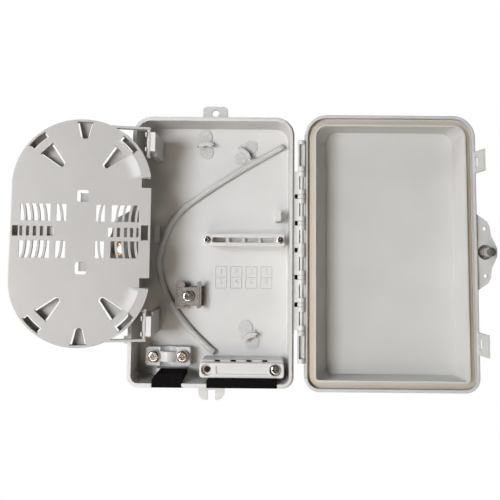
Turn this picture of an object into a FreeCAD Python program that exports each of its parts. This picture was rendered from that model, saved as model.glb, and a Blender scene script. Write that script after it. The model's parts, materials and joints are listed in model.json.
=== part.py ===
import FreeCAD, Part
import math
import os
import Sketcher

Vector = FreeCAD.Vector

# Wall-mounted frame: +Z up, +X right, the wall is the plane Y = 0 and the box opens towards -Y.
# A "rise" is a distance from the wall towards -Y.  All lengths are millimetres.
SIZES = {
    # base: shell, rim and mounting lugs
    "base_width": 138.0,
    "base_height": 226.6,
    "base_depth": 34.0,
    "base_floor": 2.5,
    "base_draft": 1.2,
    "rim_flange": 1.5,
    "rim_wall": 3.7,
    "tongue_rise": 2.0,
    "corner_top": 16.0,
    "corner_low": 9.5,
    "back_round": 2.0,
    "lug_middle": -1.2,
    "lug_width": 22.5,
    "lug_thick": 3.0,
    "lug_top": 129.5,
    "lug_low": 129.3,
    "lug_hole_height": 123.4,
    "lug_hole_radius": 3.1,
    "fork_gap": 6.6,
    # cover
    "cover_gap": 3.35,
    "cover_height": 231.2,
    "cover_depth": 27.0,
    "cover_flange": 6.0,
    "cover_corner_top": 18.8,
    "cover_corner_low": 12.3,
    "cover_step": 6.4,
    "cover_panel": 2.5,
    "face_hinge": 17.9,
    "face_free": 10.4,
    "face_side": 7.8,
    "panel_hinge": 20.75,
    "panel_free": 13.25,
    "panel_side": 10.6,
    "skirt_wall": 2.6,
    "skirt_round": 1.1,
    "gasket_gap": 2.0,
    "gasket_width": 3.5,
    "gasket_top": 2.1,
    "groove_depth": 4.0,
    "lip_inset": 8.1,
    "lip_wall": 1.6,
    "lip_lap": 1.5,
    # hinge between base and cover
    "hinge_x": 75.0,
    "hinge_middle": 0.4,
    "hinge_half": 66.2,
    "hinge_pitch": 22.6,
    "barrel_radius": 3.2,
    "hinge_pin_radius": 1.5,
    "hinge_fit": 0.05,
    "finger_width": 3.2,
    "finger_slot": 3.8,
    "knuckle_window": 11.0,
    "end_knuckle": 26.5,
    # snap flaps and lock wing
    "flap_middle": 75.3,
    "flap_width": 18.0,
    "flap_thick": 1.8,
    "flap_reach": 20.5,
    "flap_lean": 1.8,
    "flap_slot_width": 8.2,
    "flap_slot_start": 2.8,
    "flap_slot_length": 6.5,
    "wing_reach": 17.0,
    "wing_half": 33.5,
    "wing_thick": 3.0,
    "lock_inset": 7.0,
    "lock_recess_radius": 6.2,
    "lock_recess_depth": 11.0,
    "lock_boss_wall": 1.8,
    "lock_radius": 3.6,
    "lock_tip": 16.0,
    "seal_hole_height": 19.8,
    "seal_hole_radius": 1.75,
    # splice tray, in its own flat frame with the hinge axis at X = Y = 0
    "tray_axis_x": -53.0,
    "tray_axis_rise": 46.0,
    "tray_tilt": 12.74,
    "tray_middle": 13.4,
    "tray_radius": 54.6,
    "tray_straight": 37.2,
    "tray_edge": 2.9,
    "tray_under": 2.6,
    "tray_thick": 1.8,
    "tray_round": 0.5,
    "tray_wall": 1.6,
    "tray_wall_height": 9.0,
    "window_lift": 0.6,
    "window_near": 7.9,
    "window_far": 21.6,
    "fin_depth": 2.4,
    "fin_width": 1.9,
    "fin_straight": 8.0,
    "fin_bow": 50.0,
    "tray_band_radius": 46.9,
    "tray_band_rise": 3.5,
    "tray_bar_radius": 1.7,
    "tray_arm_inner": 61.9,
    "tray_arm_outer": 87.8,
    "tray_arm_wall": 2.0,
    # posts that carry the tray
    "post_left": -51.2,
    "post_right": -47.2,
    "post_inner": 64.6,
    "post_upper": 67.6,
    "post_outer": 83.6,
    "post_rise": 40.0,
    "post_top": 49.0,
    "hook_radius": 3.3,
    "hook_width": 3.4,
    "hook_mouth": 2.9,
    # adapter clamp bar
    "bar_middle": 26.4,
    "bar_height": 8.5,
    "bar_length": 68.6,
    "bar_width": 10.0,
    "bar_rise": 33.5,
    "bar_thick": 3.0,
    "bar_screw_pitch": 61.4,
    "port_pitch": 13.55,
    "port_first": 5.8,
    "port_width": 11.6,
    "port_height": 4.4,
    # number cells on the floor
    "cell_left": 0.6,
    "cell_pitch": 13.3,
    "cell_width": 10.2,
    "cell_height": 9.0,
    "cell_top": -14.1,
    "cell_line": 0.5,
    # round cable clamp
    "cable_left": -57.0,
    "cable_right": -18.8,
    "cable_top": -82.9,
    "cable_low": -98.5,
    "cable_rise": 14.0,
    "cable_middle": -37.4,
    "cable_height": -90.6,
    "cable_screw_pitch": 24.4,
    "saddle_radius": 8.0,
    "strap_thick": 1.6,
    "strap_width": 8.4,
    "strap_foot": 1.6,
    "strap_arch": 8.8,
    # strength member clamp
    "member_x": -21.6,
    "member_z": -39.8,
    "member_width": 22.6,
    "member_height": 15.2,
    "member_rise": 13.0,
    "member_sheet": 1.5,
    # drop cable clamp
    "drop_left": -9.0,
    "drop_right": 61.0,
    "drop_top": -93.0,
    "drop_low": -105.2,
    "drop_block_top": -91.6,
    "drop_block_rise": 26.0,
    "drop_bar_thick": 7.5,
    "drop_screw_left": -2.6,
    "drop_screw_right": 53.9,
    "drop_screw_height": -98.6,
    "drop_port_pitch": 13.3,
    "drop_port_first": 5.3,
    # foam seals
    "entry_left": -48.1,
    "entry_right": -23.4,
    "entry_inner": -101.2,
    "entry_rise": 12.0,
    "drop_seal_left": -2.9,
    "drop_seal_right": 55.2,
    "drop_seal_inner": -105.2,
    "drop_seal_rise": 20.0,
    # fibre clips, hooks and the loose tube
    "clip_spread": 7.0,
    "clip_thick": 1.0,
    "clip_fin": 8.0,
    "tube_radius": 2.6,
    "tube_bore": 1.75,
    # screws
    "head_radius": 5.1,
    "head_height": 3.2,
    "thread_radius": 2.4,
    "small_head_radius": 3.0,
    "small_head_height": 2.0,
    "small_thread_radius": 1.45,
}


class Size:
    """A length that knows both its value and the sheet expression that gives it."""

    def __init__(self, value, text=None):
        self.value = float(value)
        self.text = repr(self.value) if text is None else text

    def join(self, other, sign, value):
        return Size(value, "(" + self.text + sign + as_size(other).text + ")")

    def __add__(self, other):
        return self.join(other, " + ", self.value + as_size(other).value)

    def __sub__(self, other):
        return self.join(other, " - ", self.value - as_size(other).value)

    def __mul__(self, other):
        return self.join(other, " * ", self.value * as_size(other).value)

    def __truediv__(self, other):
        return self.join(other, " / ", self.value / as_size(other).value)

    def __radd__(self, other):
        return as_size(other) + self

    def __rsub__(self, other):
        return as_size(other) - self

    def __neg__(self):
        return Size(-self.value, "(0 - " + self.text + ")")


class Dims:
    """The sheet's cells, one attribute each."""


def as_size(value):
    return value if isinstance(value, Size) else Size(value)


def make_sheet(doc):
    sheet = doc.addObject("Spreadsheet::Sheet", "dims")
    dims = Dims()
    for row, (alias, value) in enumerate(SIZES.items(), start=1):
        sheet.set(f"A{row}", alias)
        sheet.set(f"B{row}", str(value))
        sheet.setAlias(f"B{row}", alias)
        setattr(dims, alias, Size(value, "dims." + alias))
    doc.recompute()
    return dims


# ---------------------------------------------------------------- drawing helpers

def new_body(doc, label):
    body = doc.addObject("PartDesign::Body", label)
    body.Label = label
    return body


def new_sketch(body, role, offset=0.0):
    """A sketch on one of the body's origin planes, lifted by offset along its normal."""
    sketch = body.newObject("Sketcher::SketchObject", body.Name + "_sketch")
    plane = next(item for item in body.Origin.OriginFeatures if item.Role == role)
    sketch.AttachmentSupport = (plane, [""])
    sketch.MapMode = "FlatFace"
    offset = as_size(offset)
    sketch.AttachmentOffset = FreeCAD.Placement(Vector(0, 0, offset.value), FreeCAD.Rotation())
    sketch.setExpression("AttachmentOffset.Base.z", offset.text)
    return sketch


def front(body, rise):
    """A sketch parallel to the wall: sketch x is X, sketch y is Z, its normal is -Y."""
    return new_sketch(body, "XZ_Plane", rise)


def across(body, height):
    """A sketch square to the hinges: sketch x is X, sketch y is Y, its normal is +Z."""
    return new_sketch(body, "XY_Plane", height)


def side(body, offset):
    """A sketch seen from the side: sketch x is Y, sketch y is Z, its normal is +X."""
    return new_sketch(body, "YZ_Plane", offset)


def bind(sketch, kind, *args):
    """Adds a dimension whose last argument is a Size, bound to its expression."""
    size = as_size(args[-1])
    index = sketch.addConstraint(Sketcher.Constraint(kind, *args[:-1], size.value))
    sketch.setExpression(f"Constraints[{index}]", size.text)


def pin_point(sketch, geometry, point, x, y):
    bind(sketch, "DistanceX", -1, 1, geometry, point, x)
    bind(sketch, "DistanceY", -1, 1, geometry, point, y)


def polygon(sketch, points):
    corners = [(as_size(x), as_size(y)) for x, y in points]
    count = len(corners)
    first = sketch.GeometryCount
    for index in range(count):
        start, end = corners[index], corners[(index + 1) % count]
        sketch.addGeometry(Part.LineSegment(Vector(start[0].value, start[1].value, 0),
                                            Vector(end[0].value, end[1].value, 0)))
    for index in range(count):
        following = (index + 1) % count
        sketch.addConstraint(
            Sketcher.Constraint("Coincident", first + index, 2, first + following, 1))
    for index, (x, y) in enumerate(corners):
        pin_point(sketch, first + index, 1, x, y)


def rectangle(sketch, left, low, right, high):
    polygon(sketch, [(left, low), (right, low), (right, high), (left, high)])


def box_about(sketch, x, y, width, height):
    rectangle(sketch, x - width / 2, y - height / 2, x + width / 2, y + height / 2)


def circle(sketch, x, y, radius):
    x, y, radius = as_size(x), as_size(y), as_size(radius)
    index = sketch.addGeometry(Part.Circle(Vector(x.value, y.value, 0), Vector(0, 0, 1), radius.value))
    pin_point(sketch, index, 3, x, y)
    bind(sketch, "Radius", index, radius)


def rounded(sketch, left, low, right, high, low_radius, high_radius):
    """A rectangle with round corners, one radius for the lower pair and one for the upper pair."""
    left, low, right, high = (as_size(value) for value in (left, low, right, high))
    radii = [as_size(value) for value in (low_radius, low_radius, high_radius, high_radius)]
    corners = [(left, low), (right, low), (right, high), (left, high)]
    inward = [(1, 1), (-1, 1), (-1, -1), (1, -1)]
    first = sketch.GeometryCount
    centres = [Vector(x.value + sx * r.value, y.value + sy * r.value, 0)
               for (x, y), (sx, sy), r in zip(corners, inward, radii)]
    turns = [180, 270, 0, 90]
    arc_points = []
    for centre, radius, turn in zip(centres, radii, turns):
        start, end = math.radians(turn), math.radians(turn + 90)
        arc = Part.ArcOfCircle(Part.Circle(centre, Vector(0, 0, 1), radius.value), start, end)
        arc_points.append((arc.StartPoint, arc.EndPoint))
        sketch.addGeometry(arc)
    for index in range(4):
        following = (index + 1) % 4
        sketch.addGeometry(Part.LineSegment(arc_points[index][1], arc_points[following][0]))
    for index in range(4):
        line, arc, following = first + 4 + index, first + index, first + (index + 1) % 4
        sketch.addConstraint(Sketcher.Constraint("Tangent", arc, 2, line, 1))
        sketch.addConstraint(Sketcher.Constraint("Tangent", line, 2, following, 1))
        kind = "Horizontal" if index % 2 == 0 else "Vertical"
        sketch.addConstraint(Sketcher.Constraint(kind, line))
        bind(sketch, "Radius", arc, radii[index])
    bind(sketch, "DistanceY", -1, 1, first + 4, 1, low)
    bind(sketch, "DistanceX", -1, 1, first + 5, 1, right)
    bind(sketch, "DistanceY", -1, 1, first + 6, 1, high)
    bind(sketch, "DistanceX", -1, 1, first + 7, 1, left)


def ring_sector(sketch, x, y, inner, outer, start, end):
    """A piece of a ring between two angles in degrees.  Its corners are fixed by value."""
    x, y, inner, outer = (as_size(value).value for value in (x, y, inner, outer))
    centre = Vector(x, y, 0)
    first, last = math.radians(start), math.radians(end)
    outside = Part.ArcOfCircle(Part.Circle(centre, Vector(0, 0, 1), outer), first, last)
    inside = Part.ArcOfCircle(Part.Circle(centre, Vector(0, 0, 1), inner), first, last)
    lines = [(outside.EndPoint, inside.EndPoint), (inside.StartPoint, outside.StartPoint)]
    pieces = [outside, inside] + [Part.LineSegment(a, b) for a, b in lines]
    for piece in pieces:
        index = sketch.addGeometry(piece)
        sketch.addConstraint(Sketcher.Constraint("Block", index))


def extrude(body, kind, sketch, length, back=False, taper=0.0):
    feature = body.newObject(kind, body.Name + "_" + kind.split("::")[1].lower())
    feature.Profile = sketch
    length = as_size(length)
    feature.Length = length.value
    feature.setExpression("Length", length.text)
    feature.Reversed = back
    if as_size(taper).value != 0.0:
        feature.TaperAngle = as_size(taper).value
        feature.setExpression("TaperAngle", as_size(taper).text)
    return feature


def pad(body, sketch, length, back=False, taper=0.0):
    """Adds material from the sketch along its normal, or against it when back is set."""
    return extrude(body, "PartDesign::Pad", sketch, length, back, taper)


def pocket(body, sketch, length, back=False, taper=0.0):
    """Removes material against the sketch's normal, or along it when back is set."""
    return extrude(body, "PartDesign::Pocket", sketch, length, back, taper)


def dress(doc, body, kind, size, wanted):
    """Rounds or bevels the edges of the body so far for which wanted(edge) is true."""
    doc.recompute()
    base = body.Tip
    names = [f"Edge{n}" for n, edge in enumerate(base.Shape.Edges, start=1) if wanted(edge)]
    if not names:
        raise RuntimeError("no edge to dress on " + body.Label)
    feature = body.newObject(kind, body.Name + "_" + kind.split("::")[1].lower())
    feature.Base = (base, names)
    size = as_size(size)
    cell = "Radius" if kind.endswith("Fillet") else "Size"
    setattr(feature, cell, size.value)
    feature.setExpression(cell, size.text)
    return feature


def fillet(doc, body, radius, wanted):
    return dress(doc, body, "PartDesign::Fillet", radius, wanted)


def at_rise(edge, rise, slack=0.01):
    """True when the whole edge lies at one distance from the wall."""
    box = edge.BoundBox
    return abs(box.YMin + as_size(rise).value) < slack and abs(box.YMax + as_size(rise).value) < slack


def upright(edge, slack=1e-4):
    """True for a straight edge square to the wall."""
    box = edge.BoundBox
    return box.XLength < slack and box.ZLength < slack and box.YLength > slack


# ---------------------------------------------------------------- base

def base_outline(sketch, d, inset):
    """The base's outline, drawn inset from its outer edge."""
    half_x = d.base_width / 2 - inset
    half_z = d.base_height / 2 - inset
    rounded(sketch, -half_x, -half_z, half_x, half_z, d.corner_low - inset, d.corner_top - inset)


def base_box(doc, d, body):
    rim = d.base_depth + d.tongue_rise
    sketch = front(body, d.base_depth)
    base_outline(sketch, d, as_size(0))
    pad(body, sketch, d.base_depth, back=True, taper=-d.base_draft)
    fillet(doc, body, d.back_round, lambda edge: at_rise(edge, 0))
    sketch = front(body, d.base_depth)
    base_outline(sketch, d, d.rim_flange)
    pad(body, sketch, d.tongue_rise)
    sketch = front(body, rim)
    base_outline(sketch, d, d.rim_wall)
    pocket(body, sketch, rim - d.base_floor, taper=-d.base_draft)
    fillet(doc, body, 1.2, lambda edge: at_rise(edge, d.base_floor))


def base_lugs(d, body):
    """The wall lug with its screw hole above the box, and the open fork below it."""
    left, right = d.lug_middle - d.lug_width / 2, d.lug_middle + d.lug_width / 2
    root = d.base_height / 2 - 2.4
    sketch = front(body, 0)
    rounded(sketch, left, root, right, d.lug_top, 1, 4)
    rounded(sketch, left, -d.lug_low, right, -root, 6.5, 1)
    pad(body, sketch, d.lug_thick)
    sketch = front(body, d.lug_thick)
    circle(sketch, d.lug_middle, d.lug_hole_height, d.lug_hole_radius)
    box_about(sketch, d.lug_middle, -d.lug_low, d.fork_gap, 17)
    pocket(body, sketch, d.lug_thick)


def base_entries(d, body):
    """The two gaps in the lower wall that the foam seals fill, each with its sill inside."""
    rim = d.base_depth + d.tongue_rise
    wall = d.base_height / 2
    sketch = front(body, d.base_floor - 0.5)
    rectangle(sketch, d.entry_left, -wall + 2, d.entry_right, d.entry_inner)
    pad(body, sketch, d.entry_rise - d.base_floor + 0.5)
    sketch = front(body, d.base_floor - 0.5)
    rectangle(sketch, d.drop_seal_left, -wall + 2, d.drop_seal_right, d.drop_seal_inner)
    pad(body, sketch, d.drop_seal_rise - d.base_floor + 0.5)
    sketch = front(body, rim)
    rectangle(sketch, d.entry_left, -wall - 1, d.entry_right, d.entry_inner - 2)
    pocket(body, sketch, rim - d.entry_rise)
    sketch = front(body, rim)
    rectangle(sketch, d.drop_seal_left, -wall - 1, d.drop_seal_right, d.drop_seal_inner - 2)
    pocket(body, sketch, rim - d.drop_seal_rise)


def base_hinge(d, body):
    """The long windowed barrel on the base's right wall, slotted for the cover's fingers."""
    low = d.hinge_middle - d.hinge_half
    length = d.hinge_half * 2
    axis = -d.base_depth
    sketch = across(body, low)
    rectangle(sketch, d.base_width / 2 - 2, axis + 0.1, d.hinge_x, axis + d.barrel_radius)
    pad(body, sketch, length)
    sketch = across(body, low)
    circle(sketch, d.hinge_x, axis, d.barrel_radius)
    pad(body, sketch, length)
    sketch = across(body, low)
    circle(sketch, d.hinge_x, axis, d.hinge_pin_radius + d.hinge_fit)
    pocket(body, sketch, length, back=True)
    top = d.base_depth + d.barrel_radius + 0.3
    sketch = front(body, top)
    for step in range(-2, 3):
        middle = d.hinge_middle + d.hinge_pitch * step
        rectangle(sketch, d.base_width / 2 + 0.4, middle - d.finger_slot / 2,
                  d.hinge_x + d.barrel_radius + 1, middle + d.finger_slot / 2)
    pocket(body, sketch, d.barrel_radius * 2 + 1)
    sketch = front(body, top)
    for step in range(6):
        middle = d.hinge_middle + d.hinge_pitch * (step - 2.5)
        rectangle(sketch, d.hinge_x - 2, middle - d.knuckle_window / 2,
                  d.hinge_x + d.barrel_radius + 1, middle + d.knuckle_window / 2)
    pocket(body, sketch, d.barrel_radius + 0.7)


def tray_bands(d, inner, outer):
    """The upper and the lower stretch of the tray hinge between two distances from its middle."""
    return [(d.tray_middle + inner, d.tray_middle + outer),
            (d.tray_middle - outer, d.tray_middle - inner)]


def base_tray_posts(d, body):
    """Two tall posts; each carries a pair of open hooks that the tray's hinge bar snaps into."""
    sketch = front(body, d.base_floor - 0.5)
    for low, high in tray_bands(d, d.post_inner, d.post_outer):
        rectangle(sketch, d.post_left, low, d.post_right, high)
    pad(body, sketch, d.post_rise - d.base_floor + 0.5)
    sketch = front(body, d.post_rise - 1)
    for low, high in tray_bands(d, d.post_upper, d.post_outer):
        rectangle(sketch, d.post_left, low, d.post_right, high)
    pad(body, sketch, d.post_top - d.post_rise + 1)
    ends = [(d.post_upper, d.post_upper + d.hook_width), (d.post_outer - d.hook_width, d.post_outer)]
    for inner, outer in ends:
        for low, high in tray_bands(d, inner, outer):
            sketch = across(body, low)
            circle(sketch, d.tray_axis_x, -d.tray_axis_rise, d.hook_radius)
            pad(body, sketch, high - low)
            sketch = across(body, low)
            circle(sketch, d.tray_axis_x, -d.tray_axis_rise, d.tray_bar_radius + d.hinge_fit)
            pocket(body, sketch, high - low, back=True)
    sketch = front(body, d.post_top + 2)
    for low, high in tray_bands(d, d.post_upper, d.post_outer):
        rectangle(sketch, d.tray_axis_x - d.hook_mouth / 2, low, d.tray_axis_x + d.hook_mouth / 2, high)
    pocket(body, sketch, d.post_top + 2 - d.tray_axis_rise)


def base_adapter_posts(d, body):
    """Posts under the adapter clamp bar, and the low rail with the adapters' seats."""
    under = d.bar_rise - d.bar_thick
    sketch = front(body, d.base_floor - 0.5)
    for sign in (-1, 1):
        box_about(sketch, d.bar_middle + d.bar_screw_pitch / 2 * sign, d.bar_height, 6.8, d.bar_width - 1.4)
    pad(body, sketch, under - d.base_floor + 0.5)
    sketch = front(body, under)
    for sign in (-1, 1):
        circle(sketch, d.bar_middle + d.bar_screw_pitch / 2 * sign, d.bar_height, 2.1)
    pocket(body, sketch, 9)
    sketch = front(body, d.base_floor - 0.5)
    box_about(sketch, d.bar_middle, d.bar_height, d.port_pitch * 4 - 0.8, d.bar_width - 3)
    pad(body, sketch, 3.5)
    sketch = front(body, d.base_floor + 3)
    for port in range(4):
        box_about(sketch, port_x(d, port), d.bar_height, d.port_width, d.port_height)
    pocket(body, sketch, 3)


def port_x(d, port):
    return d.port_first + d.port_pitch * port


def base_number_cells(d, body):
    """Thin raised frames on the floor, one per port, each with an upper and a lower cell."""
    line = d.cell_line
    low = d.cell_top - d.cell_height * 2 - line * 3
    sketch = front(body, d.base_floor - 0.3)
    for port in range(4):
        left = d.cell_left + d.cell_pitch * port
        rectangle(sketch, left, low, left + d.cell_width, d.cell_top)
        for floor in (low + line, low + line * 2 + d.cell_height):
            rectangle(sketch, left + line, floor, left + d.cell_width - line, floor + d.cell_height)
    pad(body, sketch, 0.7)


def base_cable_pedestal(d, body):
    """The block under the round cable, with its hollow saddle and two screw bores."""
    sketch = front(body, d.base_floor - 0.5)
    rounded(sketch, d.cable_left, d.cable_low, d.cable_right, d.cable_top, 2, 2)
    pad(body, sketch, d.cable_rise - d.base_floor + 0.5)
    sketch = across(body, d.cable_low - 1)
    circle(sketch, d.cable_middle, -d.cable_rise - 3.6, d.saddle_radius)
    pocket(body, sketch, d.cable_top - d.cable_low + 2, back=True)
    sketch = front(body, d.cable_rise)
    for sign in (-1, 1):
        circle(sketch, d.cable_middle + d.cable_screw_pitch / 2 * sign, d.cable_height, 3.4)
    pocket(body, sketch, 8)


def base_member_boss(d, body):
    """The round boss that the strength member clamp stands on."""
    sketch = front(body, d.base_floor - 0.5)
    circle(sketch, d.member_x, d.member_z, 6.4)
    pad(body, sketch, 3.5)
    sketch = front(body, d.base_floor + 3)
    circle(sketch, d.member_x, d.member_z, 3.4)
    pocket(body, sketch, 2.6)


def base_fibre_hooks(d, body):
    """A tall hook for the fibres by the right wall and a low one for the tube by the left wall."""
    sketch = front(body, d.base_floor - 0.5)
    rectangle(sketch, 53.2, 24.6, 54.8, 34.8)
    rectangle(sketch, -51.6, 6.2, -50.2, 21.2)
    pad(body, sketch, 12.5)
    sketch = front(body, d.base_floor + 10)
    rectangle(sketch, 53.2, 24.6, 54.8, 34.8)
    pad(body, sketch, 20.5)
    sketch = front(body, 31)
    rectangle(sketch, 53.2, 24.6, 57.8, 34.8)
    pad(body, sketch, 2)
    sketch = front(body, d.base_floor + 10.5)
    rectangle(sketch, -51.6, 6.2, -47.6, 21.2)
    pad(body, sketch, 1.5)


def base_lock_wing(doc, d, body):
    """The wing on the left wall that takes the lock bolt, and the two catches for the flaps."""
    root = -d.base_width / 2
    lock_x = -(d.base_width / 2 + d.cover_gap + d.lock_inset)
    sketch = front(body, d.base_depth - d.wing_thick)
    wing_outline(sketch, d, root + 1.5, -1, d.cover_gap + 1.5)
    pad(body, sketch, d.wing_thick)
    round_wing(doc, body, lambda edge: edge.BoundBox.XMax < root.value - 4)
    sketch = front(body, d.base_depth - 16)
    circle(sketch, lock_x, 0, 7.2)
    pad(body, sketch, 15)
    sketch = front(body, d.base_depth - 16)
    rectangle(sketch, lock_x, -2, root + 2, 2)
    pad(body, sketch, 14)
    sketch = front(body, d.base_depth)
    circle(sketch, lock_x, 0, 5.2)
    pocket(body, sketch, 16)
    sketch = front(body, d.base_depth)
    for sign in (-1, 1):
        circle(sketch, lock_x, d.seal_hole_height * sign, d.seal_hole_radius)
    pocket(body, sketch, d.wing_thick)
    for sign in (-1, 1):
        sketch = across(body, d.flap_middle * sign - 3)
        polygon(sketch, [(root + 1.2, -32.6), (root - 4.2, -28.2), (root + 1.2, -26.6)])
        pad(body, sketch, 6)


def wing_outline(sketch, d, root, way, spare):
    """The lock wing: a stepped tongue that reaches away from the rim at X = root.

    way is +1 or -1 for the side it points to, and spare is how much of it hides in the rim."""
    half = [(0.0, d.wing_half), (9.0, 25.8), (11.2, 21.2), (12.2, 13.6), (14.9, 8.0)]
    tip = [(d.wing_reach, 3.4), (d.wing_reach, -3.4)]
    lower = [(reach, -as_size(height)) for reach, height in reversed(half)]
    points = [(root + (as_size(reach) + (spare if reach != 0.0 else 0)) * way, height)
              for reach, height in half + tip + lower]
    polygon(sketch, points)


def round_wing(doc, body, wanted):
    fillet(doc, body, 2.4, lambda edge: upright(edge) and wanted(edge))


def make_base(doc, d):
    body = new_body(doc, "base_shell")
    base_box(doc, d, body)
    base_lugs(d, body)
    base_entries(d, body)
    base_lock_wing(doc, d, body)
    base_hinge(d, body)
    base_tray_posts(d, body)
    base_adapter_posts(d, body)
    base_number_cells(d, body)
    base_cable_pedestal(d, body)
    base_member_boss(d, body)
    base_fibre_hooks(d, body)
    return body


# ---------------------------------------------------------------- cover, drawn open

def cover_rise(d, depth):
    """The rise of a level that lies depth behind the rim plane of the open cover."""
    return d.base_depth - depth


def cover_sides(d):
    left = d.base_width + d.cover_gap * 2
    left = d.hinge_x * 2 - left / 2
    return left, left + d.base_width + d.cover_gap * 2


def cover_outline(sketch, d, inset):
    left, right = cover_sides(d)
    half = d.cover_height / 2 - inset
    rounded(sketch, left + inset, -half, right - inset, half,
            d.cover_corner_low - inset, d.cover_corner_top - inset)


def loft(body, kind, sketches):
    feature = body.newObject(kind, body.Name + "_loft")
    feature.Profile = sketches[0]
    feature.Sections = sketches[1:]
    feature.Ruled = True
    return feature


def outer_edge(edge, left, right, half):
    """True when the edge touches the rectangle that bounds the cover."""
    box = edge.BoundBox
    return min(box.XMin - left, right - box.XMax, box.ZMin + half, half - box.ZMax) < 0.01


def cover_box(doc, d, body):
    left, right = cover_sides(d)
    half = d.cover_height / 2
    sketch = front(body, d.base_depth)
    cover_outline(sketch, d, as_size(0))
    pad(body, sketch, d.cover_flange, back=True)
    shoulder = front(body, cover_rise(d, d.cover_flange))
    cover_outline(shoulder, d, d.cover_step)
    face = front(body, cover_rise(d, d.cover_depth))
    rounded(face, left + d.face_hinge, -half + d.face_side, right - d.face_free, half - d.face_side, 7, 12)
    loft(body, "PartDesign::AdditiveLoft", [shoulder, face])
    fillet(doc, body, 4, lambda edge: at_rise(edge, cover_rise(d, d.cover_depth)))
    sketch = front(body, d.base_depth)
    cover_outline(sketch, d, as_size(0))
    cover_outline(sketch, d, d.lip_inset + d.lip_wall)
    pad(body, sketch, d.lip_lap)
    outside = d.cover_height.value / 2
    fillet(doc, body, d.skirt_round, lambda edge: at_rise(edge, d.base_depth + d.lip_lap)
           and outer_edge(edge, left.value, right.value, outside))
    mouth = front(body, d.base_depth + d.lip_lap)
    cover_outline(mouth, d, d.lip_inset + d.lip_wall)
    panel = front(body, cover_rise(d, d.cover_depth - d.cover_panel))
    rounded(panel, left + d.panel_hinge, -half + d.panel_side, right - d.panel_free, half - d.panel_side,
            4, 10)
    loft(body, "PartDesign::SubtractiveLoft", [mouth, panel])


def cover_rim(d, body):
    """The gasket groove inside the skirt, and the low edge on the hinge side."""
    left = cover_sides(d)[0]
    half = d.cover_height / 2 + 1
    sketch = front(body, d.base_depth + d.lip_lap)
    cover_outline(sketch, d, d.skirt_wall)
    cover_outline(sketch, d, d.skirt_wall + d.gasket_gap + d.gasket_width)
    pocket(body, sketch, d.lip_lap + d.groove_depth)
    sketch = front(body, d.base_depth + d.lip_lap)
    rectangle(sketch, left - 1, -half + d.cover_corner_low, left + d.skirt_wall + 0.5,
              half - d.cover_corner_top)
    pocket(body, sketch, d.lip_lap + 0.2)


def cover_hinge(d, body):
    """Fingers for the base's slots, an end knuckle above and below, and the pin's bore."""
    left = cover_sides(d)[0]
    axis = -d.base_depth
    low, high = d.hinge_middle - d.hinge_half, d.hinge_middle + d.hinge_half
    sketch = across(body, low - 0.1)
    circle(sketch, d.hinge_x, axis, d.barrel_radius + 0.3)
    pocket(body, sketch, d.hinge_half * 2 + 0.4, back=True)
    spans = [(d.hinge_middle + d.hinge_pitch * step - d.finger_width / 2, d.finger_width)
             for step in range(-2, 3)]
    spans.append((high + 0.3, d.end_knuckle))
    spans.append((low - 0.3 - d.end_knuckle, d.end_knuckle))
    for start, length in spans:
        sketch = across(body, start)
        circle(sketch, d.hinge_x, axis, d.barrel_radius)
        pad(body, sketch, length)
        sketch = across(body, start)
        rectangle(sketch, d.hinge_x, axis, left + 1, axis + d.barrel_radius)
        pad(body, sketch, length)
    sketch = front(body, d.base_depth + d.barrel_radius + 0.3)
    for start in (high + 4.3, low - 4.3 - 18.9):
        rectangle(sketch, d.hinge_x - 2, start, d.hinge_x + 2.6, start + 18.9)
    pocket(body, sketch, d.barrel_radius + 0.7)
    sketch = across(body, low - 4.4)
    circle(sketch, d.hinge_x, axis, d.hinge_pin_radius + d.hinge_fit)
    pocket(body, sketch, d.hinge_half * 2 + 8.8, back=True)


def cover_flaps(doc, d, body):
    """Two snap flaps on the free side, each with the slot that drops over a catch."""
    right = cover_sides(d)[1]
    rim = -d.base_depth
    tip = rim - d.flap_reach
    for sign in (-1, 1):
        sketch = across(body, d.flap_middle * sign - d.flap_width / 2)
        polygon(sketch, [(right - d.flap_thick, rim + 3), (right - d.flap_thick, rim),
                         (right, tip), (right + d.flap_lean, tip), (right, rim), (right, rim + 3)])
        pad(body, sketch, d.flap_width)
    sketch = side(body, right + 4)
    for sign in (-1, 1):
        middle = d.flap_middle * sign
        rectangle(sketch, rim - d.flap_slot_start - d.flap_slot_length, middle - d.flap_slot_width / 2,
                  rim - d.flap_slot_start, middle + d.flap_slot_width / 2)
    pocket(body, sketch, 8)
    fillet(doc, body, 0.6, lambda edge: flap_corner(edge, tip.value))


def flap_corner(edge, tip):
    box = edge.BoundBox
    return abs(box.YMin - tip) < 0.01 and abs(box.YMax - tip) < 0.01 and box.ZLength < 0.01


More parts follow.
